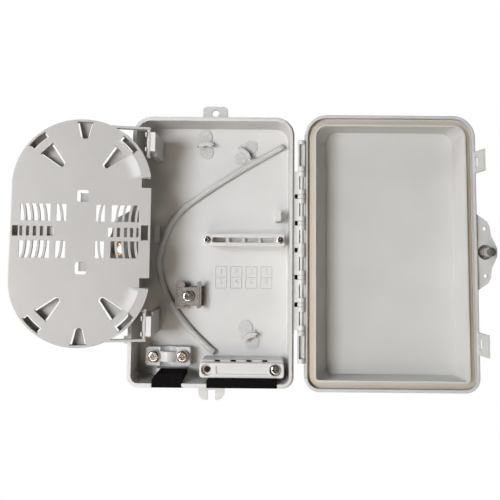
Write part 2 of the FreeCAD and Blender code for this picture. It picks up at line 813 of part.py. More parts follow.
def cover_wing(doc, d, body):
    """The wing with the captive lock bolt's boss and the two seal holes."""
    root = cover_sides(d)[1]
    lock_x = root + d.lock_inset
    boss = d.lock_recess_radius + d.lock_boss_wall
    sketch = front(body, cover_rise(d, d.wing_thick + 1))
    wing_outline(sketch, d, root - 2, 1, as_size(2))
    pad(body, sketch, d.wing_thick)
    round_wing(doc, body, lambda edge: edge.BoundBox.XMin > root.value + 5
               and edge.BoundBox.YLength < d.wing_thick.value + 0.1)
    sketch = front(body, cover_rise(d, 16))
    circle(sketch, lock_x, 0, boss)
    pad(body, sketch, 14)
    sketch = front(body, cover_rise(d, 0.5))
    circle(sketch, lock_x, 0, d.lock_recess_radius)
    pocket(body, sketch, d.lock_recess_depth - 0.5)
    sketch = front(body, cover_rise(d, 10))
    circle(sketch, lock_x, 0, d.lock_radius + 0.4)
    pocket(body, sketch, 6)
    sketch = front(body, cover_rise(d, 16))
    circle(sketch, lock_x, 0, 6.5)
    pocket(body, sketch, 3, back=True)
    sketch = front(body, d.base_depth)
    for sign in (-1, 1):
        circle(sketch, lock_x, d.seal_hole_height * sign, d.seal_hole_radius)
    pocket(body, sketch, 6)


def make_cover(doc, d):
    body = new_body(doc, "cover_shell")
    cover_box(doc, d, body)
    cover_rim(d, body)
    cover_hinge(d, body)
    cover_wing(doc, d, body)
    cover_flaps(doc, d, body)
    return body


def make_gasket(doc, d):
    body = new_body(doc, "cover_gasket")
    sketch = front(body, cover_rise(d, d.groove_depth))
    cover_outline(sketch, d, d.skirt_wall + d.gasket_gap)
    cover_outline(sketch, d, d.lip_inset)
    pad(body, sketch, d.groove_depth - d.gasket_top)
    return body


def make_hinge_pin(doc, d):
    body = new_body(doc, "cover_hinge_pin")
    low = d.hinge_middle - d.hinge_half - 3.9
    sketch = across(body, low)
    circle(sketch, d.hinge_x, -d.base_depth, d.hinge_pin_radius)
    pad(body, sketch, d.hinge_half * 2 + 7.8)
    return body


# ---------------------------------------------------------------- splice tray

def stadium(sketch, x, y, half, radius):
    """Two half circles joined by two upright lines."""
    x, y, half, radius = (as_size(value) for value in (x, y, half, radius))
    first = sketch.GeometryCount
    for sign in (1, -1):
        centre = Vector(x.value, y.value + half.value * sign, 0)
        start = 0 if sign == 1 else math.pi
        sketch.addGeometry(Part.ArcOfCircle(
            Part.Circle(centre, Vector(0, 0, 1), radius.value), start, start + math.pi))
    for sign in (-1, 1):
        edge = x.value + radius.value * sign
        ends = [Vector(edge, y.value - half.value * sign, 0), Vector(edge, y.value + half.value * sign, 0)]
        sketch.addGeometry(Part.LineSegment(ends[0], ends[1]))
    for arc, line, following in ((0, 2, 1), (1, 3, 0)):
        sketch.addConstraint(Sketcher.Constraint("Tangent", first + arc, 2, first + line, 1))
        sketch.addConstraint(Sketcher.Constraint("Tangent", first + line, 2, first + following, 1))
        sketch.addConstraint(Sketcher.Constraint("Vertical", first + line))
    bind(sketch, "Radius", first, radius)
    pin_point(sketch, first, 3, x, y + half)
    bind(sketch, "DistanceY", -1, 1, first + 1, 3, y - half)


def tray_arcs(d):
    """The centres of the tray's two round ends with the way each one points."""
    return [(d.tray_middle + d.tray_straight, 1), (d.tray_middle - d.tray_straight, -1)]


def tray_tongues(d):
    """Every U-shaped hole: its arc centre height, direction and radii, as plain numbers."""
    shapes = [(90, 42.2, 52.6, 3.7, 6.3), (45, 25.2, 41.5, 3.1, 6.5), (135, 25.2, 41.5, 3.1, 6.5)]
    return [(height, math.radians(angle * way), inner, outer, slim, wide)
            for height, way in tray_arcs(d) for angle, inner, outer, slim, wide in shapes]


def tongue_sides(sketch, d, stretch=0.0, trim=0.0):
    middle = d.tray_edge - d.tray_radius
    for height, angle, inner, outer, slim, wide in tray_tongues(d):
        slim, wide = slim - trim, wide - trim
        along, over = (math.cos(angle), math.sin(angle)), (-math.sin(angle), math.cos(angle))
        corners = [(inner, slim), (outer + stretch, wide), (outer + stretch, -wide), (inner, -slim)]
        polygon(sketch, [(middle + along[0] * r + over[0] * w, height + along[1] * r + over[1] * w)
                         for r, w in corners])


def tongue_ends(sketch, d, trim=0.0):
    middle = d.tray_edge - d.tray_radius
    for height, angle, inner, outer, slim, wide in tray_tongues(d):
        circle(sketch, middle + math.cos(angle) * inner, height + math.sin(angle) * inner, slim - trim)


def tray_shell(doc, d, body):
    """The plate and the wall round it, which is left open along the hinge."""
    middle = d.tray_edge - d.tray_radius
    plate = d.tray_under - d.tray_thick
    rim = d.tray_under - d.tray_wall_height
    sketch = front(body, plate)
    stadium(sketch, middle, d.tray_middle, d.tray_straight, d.tray_radius)
    pad(body, sketch, d.tray_thick)
    fillet(doc, body, d.tray_round, lambda edge: at_rise(edge, d.tray_under))
    sketch = front(body, rim)
    stadium(sketch, middle, d.tray_middle, d.tray_straight, d.tray_radius)
    stadium(sketch, middle, d.tray_middle, d.tray_straight, d.tray_radius - d.tray_wall)
    pad(body, sketch, d.tray_wall_height - 1)
    sketch = front(body, plate)
    rectangle(sketch, d.tray_edge - 5, d.tray_middle - d.tray_straight + 1,
              d.tray_edge + 1, d.tray_middle + d.tray_straight - 1)
    pocket(body, sketch, d.tray_wall_height)
    sketch = front(body, rim)
    for height, way in tray_arcs(d):
        for start in (28, 118):
            low, high = sorted((start * way, (start + 34) * way))
            ring_sector(sketch, middle, height, 42.2, 43.4, low, high)
    pad(body, sketch, d.tray_wall_height - 1)


def tray_tabs(d, body):
    """Tabs at the top of the walls that keep the fibres in; each sits above a hole of its shape."""
    middle = d.tray_edge - d.tray_radius
    rim = d.tray_under - d.tray_wall_height
    sketch = front(body, rim)
    tongue_sides(sketch, d, 1.0, 1.2)
    pad(body, sketch, 1.2)
    sketch = front(body, rim)
    tongue_ends(sketch, d, 1.2)
    pad(body, sketch, 1.2)
    sketch = front(body, rim)
    for height, way in tray_arcs(d):
        for start in (37, 127):
            low, high = sorted((start * way, (start + 16) * way))
            ring_sector(sketch, middle, height, 49.6, 53.4, low, high)
    rectangle(sketch, middle - 53.6, d.tray_middle - 4.8, middle - 49.6, d.tray_middle + 5.0)
    pad(body, sketch, 1.2)


def tray_holes(d, body):
    """Everything that goes through the plate: tongues, corner holes, latches and notches."""
    middle = d.tray_edge - d.tray_radius
    plate = d.tray_under - d.tray_thick
    sketch = front(body, d.tray_under)
    tongue_sides(sketch, d)
    pocket(body, sketch, d.tray_thick)
    sketch = front(body, d.tray_under)
    tongue_ends(sketch, d)
    pocket(body, sketch, d.tray_thick)
    sketch = front(body, d.tray_under)
    for height, way in tray_arcs(d):
        for start in (36, 126):
            low, high = sorted((start * way, (start + 18) * way))
            ring_sector(sketch, middle, height, 47.5, 52.8, low, high)
    for low, high in tray_bands(d, 24.2, 34.0):
        rounded(sketch, middle - 4.6, low, middle + 4.4, high, 1.6, 1.6)
    pocket(body, sketch, d.tray_thick)
    sketch = front(body, d.tray_under + 1)
    for low, high in tray_bands(d, d.tray_straight - 0.2, d.tray_straight + 7.6):
        rectangle(sketch, d.tray_edge - 8, low, d.tray_edge + 1, high)
    pocket(body, sketch, d.tray_wall_height + 2)
    sketch = front(body, plate - 3.6)
    for low, high in tray_bands(d, 23.0, 31.6):
        rectangle(sketch, middle - 1.8, low, middle + 4.2, high)
    pad(body, sketch, 1.2)
    sketch = front(body, plate - 3.6)
    for low, high in tray_bands(d, 22.4, 24.0):
        rectangle(sketch, middle - 1.8, low, middle + 4.2, high)
    pad(body, sketch, 4)


def tray_windows(d, body):
    """The splice holders: four windows with bowed fins behind them, and the slots between."""
    middle = d.tray_edge - d.tray_radius
    centre = d.tray_middle + d.window_lift
    sketch = front(body, d.tray_under)
    for way in (-1, 1):
        near, far = centre + d.window_near * way, centre + d.window_far * way
        for inner, outer in ((12.4, 20.0), (24.6, 47.4)):
            rectangle(sketch, middle - outer, near, middle - inner, far)
            rectangle(sketch, middle + inner - 1.6, near, middle + outer - 2.4, far)
    pocket(body, sketch, d.tray_thick)
    sketch = front(body, d.tray_under)
    for inner, outer in ((21.8, 26.6), (29.5, 32.0), (34.8, 37.3), (40.1, 42.4), (45.3, 47.4)):
        rectangle(sketch, middle - outer, d.tray_middle - 3.5, middle - inner, d.tray_middle + 4.1)
    for inner, outer in ((20.6, 24.9), (27.7, 30.2), (33.2, 35.8), (38.1, 40.6), (43.2, 45.0)):
        rectangle(sketch, middle + inner, d.tray_middle - 3.8, middle + outer, d.tray_middle + 3.7)
    rectangle(sketch, middle - 53.0, d.tray_middle - 3.8, middle - 48.6, d.tray_middle + 4.4)
    rectangle(sketch, middle + 46.9, d.tray_middle - 6.3, middle + 52.6, d.tray_middle + 6)
    pocket(body, sketch, d.tray_thick)
    tray_fins(d, body, (-43.4, -38.3, -33.1, -28.0, -15.6, 13.4, 27.0, 32.3, 37.5, 42.7))


def tray_fins(d, body, offsets):
    """Fins under the plate at these places, straight in the middle and bowed at both ends."""
    middle = d.tray_edge - d.tray_radius
    half = d.fin_width.value / 2
    deep = d.tray_under - d.tray_thick - d.fin_depth
    straight, bow = d.fin_straight, d.fin_bow.value
    sketch = front(body, deep)
    for offset in offsets:
        box_about(sketch, middle + offset, d.tray_middle, d.fin_width, straight * 2)
    pad(body, sketch, d.fin_depth + 0.4)
    sketch = front(body, deep)
    for offset in offsets:
        outward = math.copysign(1, offset)
        for way in (-1, 1):
            ends = [way * 18, way * -0.5] if outward < 0 else [180 - way * 18, 180 + way * 0.5]
            ring_sector(sketch, middle + offset + bow * outward, d.tray_middle + straight * way,
                        bow - half, bow + half, min(ends), max(ends))
    pad(body, sketch, d.fin_depth + 0.4)


def tray_arms(d, body):
    """The raised bands by the hinge, the arms beyond the round ends and the bars they carry."""
    middle = d.tray_edge - d.tray_radius
    sketch = front(body, d.tray_under - 0.4)
    for height, way in tray_arcs(d):
        low, high = sorted((9 * way, 35 * way))
        ring_sector(sketch, middle, height, d.tray_band_radius, 54.5, low, high)
    pad(body, sketch, d.tray_band_rise)
    reach = d.tray_under
    for low, high in tray_bands(d, d.tray_arm_inner, d.tray_arm_inner + d.tray_arm_wall):
        sketch = across(body, low)
        polygon(sketch, [(-6, -reach), (1.0, -reach), (1.9, -1), (1.9, 1), (1.0, reach), (-6, reach)])
        pad(body, sketch, high - low)
    for low, high in tray_bands(d, d.tray_arm_outer - d.tray_arm_wall, d.tray_arm_outer):
        sketch = across(body, low)
        polygon(sketch, [(-31, -reach), (1.0, -reach), (1.9, -1), (1.9, 1), (1.0, reach), (-31, reach)])
        pad(body, sketch, high - low)
    for low, high in tray_bands(d, d.tray_arm_inner, d.tray_arm_outer):
        sketch = across(body, low)
        circle(sketch, 0, 0, d.tray_bar_radius)
        pad(body, sketch, high - low)


def make_tray(doc, d):
    body = new_body(doc, "splice_tray")
    tray_shell(doc, d, body)
    tray_tabs(d, body)
    tray_holes(d, body)
    tray_windows(d, body)
    tray_arms(d, body)
    body.Placement = FreeCAD.Placement(
        Vector(d.tray_axis_x.value, -d.tray_axis_rise.value, 0),
        FreeCAD.Rotation(Vector(0, 0, 1), d.tray_tilt.value))
    body.setExpression("Placement.Base.x", d.tray_axis_x.text)
    body.setExpression("Placement.Base.y", (-d.tray_axis_rise).text)
    return body


# ---------------------------------------------------------------- screws and inserts

def cross(sketch, x, z, reach, half):
    """The outline of a cross recess."""
    steps = [(half, reach), (half, half), (reach, half)]
    points = []
    for sx, sz in ((1, 1), (1, -1), (-1, -1), (-1, 1)):
        corner = [(x + a * sx, z + b * sz) for a, b in steps]
        points += corner if sx * sz == 1 else corner[::-1]
    polygon(sketch, points)


def screw(doc, label, x, z, seat, length, size):
    """A pan head screw that points to the wall, its head resting at the rise called seat."""
    head, height, shank = size
    body = new_body(doc, label)
    sketch = front(body, seat)
    circle(sketch, x, z, head)
    pad(body, sketch, height)
    top = as_size(seat) + height
    fillet(doc, body, height * 0.55, lambda edge: at_rise(edge, top))
    sketch = front(body, seat)
    circle(sketch, x, z, shank)
    pad(body, sketch, length, back=True)
    sketch = front(body, top)
    cross(sketch, as_size(x), as_size(z), head * 0.52, head * 0.13)
    pocket(body, sketch, height * 0.6)
    return body


def large_size(d):
    return d.head_radius, d.head_height, d.thread_radius


def small_size(d):
    return d.small_head_radius, d.small_head_height, d.small_thread_radius


def insert(doc, label, x, z, low, length, outer, inner):
    body = new_body(doc, label)
    sketch = front(body, low)
    circle(sketch, x, z, outer)
    circle(sketch, x, z, inner)
    pad(body, sketch, length)
    return body


def group(doc, label, members):
    """Puts equal fasteners into one sub-part, as separate solids."""
    compound = doc.addObject("Part::Compound", label)
    compound.Label = label
    compound.Links = members
    return compound


def pair_at(d_middle, d_pitch):
    return [d_middle - d_pitch / 2, d_middle + d_pitch / 2]


# ---------------------------------------------------------------- clamps inside the base

def make_adapter_bar(doc, d):
    """The bar that holds four adapters down, with a framed window for each port."""
    body = new_body(doc, "adapter_clamp_bar")
    half_x, half_z = d.bar_length / 2, d.bar_width / 2
    sketch = front(body, d.bar_rise - d.bar_thick)
    rounded(sketch, d.bar_middle - half_x - 0.2, d.bar_height - half_z,
            d.bar_middle + half_x + 0.2, d.bar_height + half_z, 1.2, 1.2)
    pad(body, sketch, d.bar_thick - 0.6)
    sketch = front(body, d.bar_rise - 0.8)
    for port in range(4):
        box_about(sketch, port_x(d, port), d.bar_height, d.port_width + 1.2, d.port_height + 2.6)
    pad(body, sketch, 0.8)
    sketch = front(body, d.bar_rise)
    for port in range(4):
        box_about(sketch, port_x(d, port), d.bar_height, d.port_width, d.port_height)
    for x in pair_at(d.bar_middle, d.bar_screw_pitch):
        circle(sketch, x, d.bar_height, d.small_thread_radius + 0.25)
    pocket(body, sketch, d.bar_thick)
    return body


def make_adapter_screws(doc, d):
    seat = d.bar_rise - 0.6
    return group(doc, "adapter_bar_screws", [
        screw(doc, f"adapter_screw_{n}", x, d.bar_height, seat, 9, small_size(d))
        for n, x in enumerate(pair_at(d.bar_middle, d.bar_screw_pitch), start=1)])


def make_adapter_inserts(doc, d):
    low = d.bar_rise - d.bar_thick - 9
    return group(doc, "adapter_bar_inserts", [
        insert(doc, f"adapter_insert_{n}", x, d.bar_height, low, 8.4, 2.05, 1.55)
        for n, x in enumerate(pair_at(d.bar_middle, d.bar_screw_pitch), start=1)])


def make_cable_strap(doc, d):
    """The arched strap over the round cable."""
    body = new_body(doc, "cable_clamp_strap")
    half = d.strap_width / 2
    sketch = front(body, d.cable_rise)
    for sign in (-1, 1):
        foot = d.cable_middle + d.cable_screw_pitch / 2 * sign
        circle(sketch, foot, d.cable_height, 5.7)
    pad(body, sketch, d.strap_foot)
    sketch = front(body, d.cable_rise)
    rectangle(sketch, d.cable_middle - d.cable_screw_pitch / 2, d.cable_height - half,
              d.cable_middle + d.cable_screw_pitch / 2, d.cable_height + half)
    pad(body, sketch, d.strap_foot)
    sketch = across(body, d.cable_height - half)
    circle(sketch, d.cable_middle, 3.8 - d.cable_rise, d.strap_arch)
    pad(body, sketch, d.strap_width)
    sketch = across(body, d.cable_height - half)
    circle(sketch, d.cable_middle, 3.8 - d.cable_rise, d.strap_arch - d.strap_thick)
    pocket(body, sketch, d.strap_width, back=True)
    sketch = front(body, d.cable_rise)
    rectangle(sketch, d.cable_middle - 12, d.cable_height - half - 1,
              d.cable_middle + 12, d.cable_height + half + 1)
    pocket(body, sketch, 14)
    sketch = front(body, d.cable_rise + d.strap_foot)
    for x in pair_at(d.cable_middle, d.cable_screw_pitch):
        circle(sketch, x, d.cable_height, d.thread_radius + 0.3)
    pocket(body, sketch, d.strap_foot)
    return body


def make_cable_screws(doc, d):
    seat = d.cable_rise + d.strap_foot
    return group(doc, "cable_clamp_screws", [
        screw(doc, f"cable_screw_{n}", x, d.cable_height, seat, 8.5, large_size(d))
        for n, x in enumerate(pair_at(d.cable_middle, d.cable_screw_pitch), start=1)])


def make_cable_inserts(doc, d):
    return group(doc, "cable_clamp_inserts", [
        insert(doc, f"cable_insert_{n}", x, d.cable_height, d.cable_rise - 8, 8, 3.35, 2.5)
        for n, x in enumerate(pair_at(d.cable_middle, d.cable_screw_pitch), start=1)])


def make_member_bracket(doc, d):
    """The zinc channel for the cable's strength member, with an ear turned out at each corner."""
    body = new_body(doc, "strength_member_bracket")
    seat = d.base_floor + 3
    half, end = d.member_width / 2, d.member_height / 2
    wall = d.member_sheet
    sketch = front(body, seat)
    rectangle(sketch, d.member_x - half + 0.6, d.member_z - end - 0.9,
              d.member_x + half + 2, d.member_z + end + 0.9)
    pad(body, sketch, wall)
    sketch = front(body, seat)
    for sign in (-1, 1):
        box_about(sketch, d.member_x + (half - wall / 2) * sign, d.member_z, wall, d.member_height)
    pad(body, sketch, d.member_rise - seat)
    sketch = front(body, seat)
    for sign_x in (-1, 1):
        for sign_z in (-1, 1):
            box_about(sketch, d.member_x + (half - 1.8) * sign_x, d.member_z + (end + 0.65) * sign_z,
                      2.4, 0.9)
    pad(body, sketch, d.member_rise - seat - 0.5)
    sketch = front(body, d.member_rise - 1.2)
    left, right = d.member_x - half, d.member_x + half
    upper, lower = d.member_z + end + 0.2, d.member_z - end - 0.2
    rounded(sketch, left, upper, left + 8.2, upper + 4.8, 0.3, 2.2)
    rounded(sketch, right - 3.6, upper, right, upper + 4.8, 0.3, 1.2)
    rounded(sketch, left, lower - 3, left + 8.2, lower, 1.4, 0.3)
    rounded(sketch, right - 4, lower - 2.6, right, lower, 1.2, 0.3)
    pad(body, sketch, 1.4)
    sketch = front(body, seat + wall)
    circle(sketch, d.member_x, d.member_z, d.thread_radius + 0.3)
    pocket(body, sketch, wall)
    return body


def make_member_plate(doc, d):
    body = new_body(doc, "strength_member_plate")
    sketch = front(body, d.member_rise - d.member_sheet)
    box_about(sketch, d.member_x, d.member_z, d.member_width - d.member_sheet * 2 - 0.4, d.member_height)
    circle(sketch, d.member_x, d.member_z, d.thread_radius + 0.3)
    pad(body, sketch, d.member_sheet)
    return body


def make_drop_base(doc, d):
    """The block under the drop cables, with a shallow channel for each of the four."""
    body = new_body(doc, "drop_clamp_base")
    sketch = front(body, d.base_floor)
    rounded(sketch, d.drop_left, d.drop_low, d.drop_right, d.drop_block_top, 3, 3)
    pad(body, sketch, d.drop_block_rise - d.base_floor)
    sketch = across(body, d.drop_low - 1)
    for port in range(4):
        box_about(sketch, d.drop_port_first + d.drop_port_pitch * port, 0.9 - d.drop_block_rise, 4.6, 2.6)
    pocket(body, sketch, d.drop_block_top - d.drop_low + 2, back=True)
    sketch = front(body, d.drop_block_rise)
    for x in (d.drop_screw_left, d.drop_screw_right):
        circle(sketch, x, d.drop_screw_height, 3.4)
    pocket(body, sketch, 10)
    return body


def make_drop_bar(doc, d):
    """The clamp bar over the drop cables: a label recess between two counterbored holes."""
    body = new_body(doc, "drop_clamp_bar")
    top = d.drop_block_rise + d.drop_bar_thick
    sketch = front(body, d.drop_block_rise)
    rounded(sketch, d.drop_left, d.drop_low, d.drop_right, d.drop_top, 2.6, 2.6)
    pad(body, sketch, d.drop_bar_thick)
    fillet(doc, body, 0.8, lambda edge: at_rise(edge, top))
    sketch = front(body, top)
    for x in (d.drop_screw_left, d.drop_screw_right):
        circle(sketch, x, d.drop_screw_height, 4.9)
    pocket(body, sketch, 3.4)
    sketch = front(body, top)
    rounded(sketch, d.drop_screw_left + 7.4, d.drop_screw_height - 3.5,
            d.drop_screw_right - 6.2, d.drop_screw_height + 3.4, 1, 1)
    pocket(body, sketch, 0.9)
    sketch = front(body, top)
    for x in (d.drop_screw_left, d.drop_screw_right):
        circle(sketch, x, d.drop_screw_height, d.thread_radius + 0.4)
    pocket(body, sketch, d.drop_bar_thick)
    return body


def make_drop_inserts(doc, d):
    low = d.drop_block_rise - 10
    return group(doc, "drop_clamp_inserts", [
        insert(doc, f"drop_insert_{n}", x, d.drop_screw_height, low, 10, 3.35, 2.5)
        for n, x in enumerate((d.drop_screw_left, d.drop_screw_right), start=1)])


# ---------------------------------------------------------------- seals, tube and clips

def make_cable_seal(doc, d):
    """The hand-cut foam block in the round cable's gap: its inner corners are cut off askew."""
    body = new_body(doc, "cable_entry_seal")
    wall = 0.2 - d.base_height / 2
    top = d.base_depth + d.tongue_rise - 0.3
    left, right, inner = d.entry_left, d.entry_right, d.entry_inner
    sketch = front(body, d.entry_rise)
    polygon(sketch, [(left, wall), (right, wall), (right, wall + 4.6), (right + 2.2, inner - 4),
                     (right + 1.6, inner), (left + 4, inner), (left, inner - 5.6)])
    pad(body, sketch, top - d.entry_rise)
    fillet(doc, body, 0.7, lambda edge: at_rise(edge, top))
    return body


def make_drop_seal(doc, d):
    """The foam strip along the drop cables' gap."""
    body = new_body(doc, "drop_entry_seal")
    top = d.base_depth + d.tongue_rise - 0.3
    sketch = front(body, d.drop_seal_rise)
    rounded(sketch, d.drop_seal_left, 0.2 - d.base_height / 2, d.drop_seal_right, d.drop_seal_inner, 0.8, 2.5)
    pad(body, sketch, top - d.drop_seal_rise)
    fillet(doc, body, 0.7, lambda edge: at_rise(edge, top))
    return body


TUBE_ROUTE = [(60.5, 93.0), (31.0, 76.6), (-7.0, 52.6), (-36.0, 31.0), (-46.5, 5.0), (-50.3, -13.0),
              (-43.5, -36.0), (-28.0, -61.0), (-9.5, -80.0), (1.0, -88.6)]


def route_wire(points):
    """Straight runs joined by tangent arcs.  Returns the wire's edges and the arc radii."""
    edges, radii = [], []
    start = points[0]
    for before, corner, after in zip(points, points[1:], points[2:]):
        back, ahead = before - corner, after - corner
        half_turn = (math.pi - back.getAngle(ahead)) / 2
        tangent = 0.45 * min(back.Length, ahead.Length)
        radii.append(tangent / math.tan(half_turn))
        enter = corner + back.normalize() * tangent
        leave = corner + ahead.normalize() * tangent
        bisector = (back + ahead).normalize()
        middle = corner + bisector * (radii[-1] * (1 / math.cos(half_turn) - 1))
        edges.append(Part.makeLine(start, enter))
        edges.append(Part.Arc(enter, middle, leave).toShape())
        start = leave
    edges.append(Part.makeLine(start, points[-1]))
    return edges, radii


def make_tube(doc, d):
    """The empty loose tube that lies on the floor of the base."""
    level = -d.base_floor.value - d.tube_radius.value
    points = [Vector(x, level, z) for x, z in TUBE_ROUTE]
    edges, radii = route_wire(points)
    spine = Part.Wire(edges)
    direction = points[1] - points[0]
    shells = []
    for radius in (d.tube_radius.value, d.tube_bore.value):
        ring = Part.Wire([Part.Circle(points[0], direction, radius).toShape()])
        shells.append(spine.makePipeShell([ring], True, False))
    tube = doc.addObject("Part::Feature", "loose_tube")
    tube.Label = "loose_tube"
    tube.Shape = shells[0].cut(shells[1])
    area = math.pi * (d.tube_radius.value ** 2 - d.tube_bore.value ** 2)
    print("tube radii", [round(radius, 1) for radius in radii], "length", round(spine.Length, 2),
          "volume", round(tube.Shape.Volume, 1), "section x length", round(area * spine.Length, 1))
    return tube


def make_clip(doc, d, label, x, z, turn, foot):
    """A fibre clip: two glued feet and a bowed fin between them, in its own frame on the floor."""
    body = new_body(doc, label)
    sketch = front(body, 0)
    circle(sketch, -d.clip_spread, 0, foot)
    pad(body, sketch, d.clip_thick)
    sketch = front(body, 0)
    circle(sketch, d.clip_spread, 0, foot)
    pad(body, sketch, d.clip_thick)
    sketch = front(body, 0)
    box_about(sketch, 0, 0, 4, 15)
    pad(body, sketch, d.clip_thick)
    sketch = front(body, 0)
    ring_sector(sketch, -11, 0, 11.2, 12.4, -38, 38)
    pad(body, sketch, d.clip_fin)
    sketch = front(body, d.clip_fin - 1)
    ring_sector(sketch, -11, 0, 8.6, 12.4, -34, 34)
    pad(body, sketch, 1)
    body.Placement = FreeCAD.Placement(Vector(x, -d.base_floor.value, z),
                                       FreeCAD.Rotation(Vector(0, 1, 0), -turn))
    body.setExpression("Placement.Base.y", (-d.base_floor).text)
    return body


# ---------------------------------------------------------------- lock

def lock_place(d):
    return cover_sides(d)[1] + d.lock_inset


def make_lock_bolt(doc, d):
    """The captive bolt that draws the cover to the base."""
    body = new_body(doc, "lock_bolt")
    x = lock_place(d)
    seat = cover_rise(d, 13)
    sketch = front(body, seat)
    circle(sketch, x, 0, d.lock_radius)
    pad(body, sketch, d.lock_tip + 13)
    tip = seat + d.lock_tip + 13
    dress(doc, body, "PartDesign::Chamfer", 1.6, lambda edge: at_rise(edge, tip))
    sketch = front(body, seat)
    circle(sketch, x, 0, 5.75)
    pad(body, sketch, 5, back=True)
    low = seat - 5
    fillet(doc, body, 0.8, lambda edge: at_rise(edge, low))
    sketch = front(body, low)
    turns = [math.radians(90 + 72 * n) for n in range(5)]
    polygon(sketch, [(x + math.cos(turn) * 2.9, math.sin(turn) * 2.9) for turn in turns])
    pocket(body, sketch, 3, back=True)
    return body


def make_lock_ring(doc, d):
    """The ring that keeps the bolt in the cover."""
    return insert(doc, "lock_retaining_ring", lock_place(d), as_size(0), cover_rise(d, 11), 1.0,
                  5.4, d.lock_radius)


def make_lock_insert(doc, d):
    x = d.hinge_x * 2 - lock_place(d)
    return insert(doc, "lock_insert", x, as_size(0), d.base_depth - 16, 11, 5.15, d.lock_radius + 0.3)


def build(doc, d):
    """Every sub-part, in the order in which the box is put together."""
    return [
        make_base(doc, d),
        make_cover(doc, d),
        make_gasket(doc, d),
        make_hinge_pin(doc, d),
        make_tray(doc, d),
        make_adapter_bar(doc, d),
        make_adapter_screws(doc, d),
        make_adapter_inserts(doc, d),
        make_cable_strap(doc, d),
        make_cable_screws(doc, d),
        make_cable_inserts(doc, d),
        make_member_bracket(doc, d),
        make_member_plate(doc, d),
        screw(doc, "strength_member_screw", d.member_x, d.member_z, d.member_rise, 9.5, large_size(d)),
        insert(doc, "strength_member_insert", d.member_x, d.member_z, d.base_floor + 0.4, 2.6, 3.35, 2.5),
        make_drop_base(doc, d),
        make_drop_bar(doc, d),
        screw(doc, "drop_clamp_screw", d.drop_screw_right, d.drop_screw_height,
              d.drop_block_rise + d.drop_bar_thick - 3.4, 13, (as_size(4.2), as_size(2.6), d.thread_radius)),
        make_drop_inserts(doc, d),
        make_cable_seal(doc, d),
        make_drop_seal(doc, d),
        make_tube(doc, d),
        make_clip(doc, d, "fiber_clip_1", -9.4, 94.5, 95, 6.2),
        make_clip(doc, d, "fiber_clip_2", 26.4, 87.4, 50, 5.8),
        make_clip(doc, d, "fiber_clip_3", 30.6, -73.4, 115, 6.2),
        make_lock_bolt(doc, d),
        make_lock_ring(doc, d),
        make_lock_insert(doc, d),
    ]


# ---------------------------------------------------------------- document

def check(doc, parts):
    """Stops before anything is written if an object failed or a shape is unusable."""
    for item in doc.Objects:
        if "Invalid" in item.State or "Error" in item.State:
            raise RuntimeError("failed object: " + item.Name + " " + str(item.State))
    for part in parts:
        if part.Shape.isNull() or not part.Shape.isValid():
            raise RuntimeError("bad shape: " + part.Label)


def main():
    doc = FreeCAD.newDocument("fiber_termination_box")
    dims = make_sheet(doc)
    parts = build(doc, dims)
    doc.recompute()
    check(doc, parts)
    os.makedirs("parts", exist_ok=True)
    for part in parts:
        part.Shape.exportStep(os.path.join("parts", part.Label + ".step"))
        box = part.Shape.BoundBox
        print(f"{part.Label:28s} solids {len(part.Shape.Solids)}  volume {part.Shape.Volume:10.1f}  "
              f"X {box.XMin:7.1f} {box.XMax:7.1f}  Y {box.YMin:6.1f} {box.YMax:6.1f}  "
              f"Z {box.ZMin:7.1f} {box.ZMax:7.1f}")


main()
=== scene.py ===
"""The looks of the fibre termination box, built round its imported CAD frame.  Metres, CAD frame."""
import json
import math

import bpy
import bmesh
from mathutils import Matrix, Vector


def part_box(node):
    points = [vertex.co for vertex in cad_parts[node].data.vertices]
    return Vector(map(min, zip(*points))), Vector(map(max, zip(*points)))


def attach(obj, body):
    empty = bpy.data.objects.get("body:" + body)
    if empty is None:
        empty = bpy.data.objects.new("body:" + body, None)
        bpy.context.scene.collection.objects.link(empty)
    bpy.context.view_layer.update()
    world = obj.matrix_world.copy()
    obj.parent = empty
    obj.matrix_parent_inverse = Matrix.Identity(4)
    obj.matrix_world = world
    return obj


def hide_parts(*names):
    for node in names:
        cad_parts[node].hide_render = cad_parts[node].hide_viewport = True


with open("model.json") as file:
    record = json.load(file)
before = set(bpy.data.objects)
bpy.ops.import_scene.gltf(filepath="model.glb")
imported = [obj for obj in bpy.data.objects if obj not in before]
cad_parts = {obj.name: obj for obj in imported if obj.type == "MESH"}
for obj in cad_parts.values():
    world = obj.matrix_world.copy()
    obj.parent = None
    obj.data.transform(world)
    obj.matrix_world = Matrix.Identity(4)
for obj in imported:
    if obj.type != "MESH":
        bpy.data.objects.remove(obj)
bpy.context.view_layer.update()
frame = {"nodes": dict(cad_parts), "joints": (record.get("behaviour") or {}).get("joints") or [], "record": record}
NODES = frame["nodes"]
MM = 0.001


# ---------------------------------------------------------------- camera, light and stage

CAMERA_PLACE = (0.0450, -0.5910, -0.0054)
CAMERA_TURN = (-0.322, 5.549, 0.481)  # yaw, pitch and roll in degrees, from square on to the box


